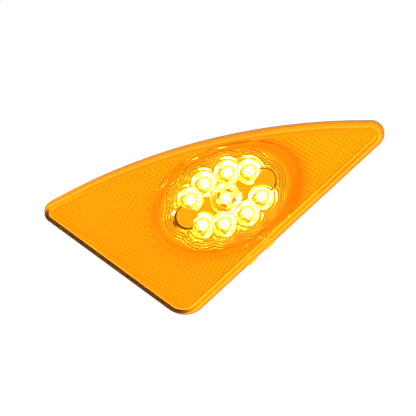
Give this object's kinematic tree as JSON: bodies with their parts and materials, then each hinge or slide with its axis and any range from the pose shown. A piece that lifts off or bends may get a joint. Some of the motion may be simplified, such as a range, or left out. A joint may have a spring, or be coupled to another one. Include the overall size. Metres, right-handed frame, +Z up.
{
  "type": "truck fender light",
  "caption": "Amber three-cornered truck fender lamp: clear ribless lens with a reflex field and a tilted oval window over an LED reflector, on a gasketed housing with studs.",
  "frame": {"origin": "the middle LED's axis where it meets the fender panel's face, at the centre of the fender's opening", "axes": "+X along the fender towards the lamp's thin tip, +Z up, +Y into the fender; the lens looks towards -Y"},
  "size_m": [0.2043, 0.0445, 0.1179],
  "materials": {
    "amber_lens": "clear amber polycarbonate, smooth outside, prisms inside the face",
    "black_sealant": "black sealing bead, matt",
    "bright_metal_coat": "moulding with a bright vacuum-metallised face",
    "board": "pale glass-fibre board",
    "led_package": "white package with a yellow phosphor window",
    "chip_black": "black chip bodies",
    "can_aluminium": "bare drawn can",
    "housing_black": "black moulded plastic, fine grain",
    "gasket_foam": "closed-cell foam, grey",
    "plated_steel": "zinc plated",
    "tinned_brass": "tin-flashed brass",
    "vent_black": "black cap, satin"
  },
  "bodies": {
    "root": {"lens": "amber_lens", "lens_seal": "black_sealant", "reflector": "bright_metal_coat", "led_board": "board", "led_1": "led_package", "led_2": "led_package", "led_3": "led_package", "led_4": "led_package", "led_5": "led_package", "led_6": "led_package", "led_7": "led_package", "led_8": "led_package", "led_9": "led_package", "resistors": "chip_black", "protection_diode": "chip_black", "surge_suppressor": "chip_black", "capacitor": "can_aluminium", "housing": "housing_black", "gasket": "gasket_foam", "mounting_studs": "plated_steel", "terminal_ground": "tinned_brass", "terminal_park": "tinned_brass", "terminal_turn": "tinned_brass", "board_screws": "plated_steel", "reflector_screws": "plated_steel", "breather_vent": "vent_black"}
  },
  "joints": []
}
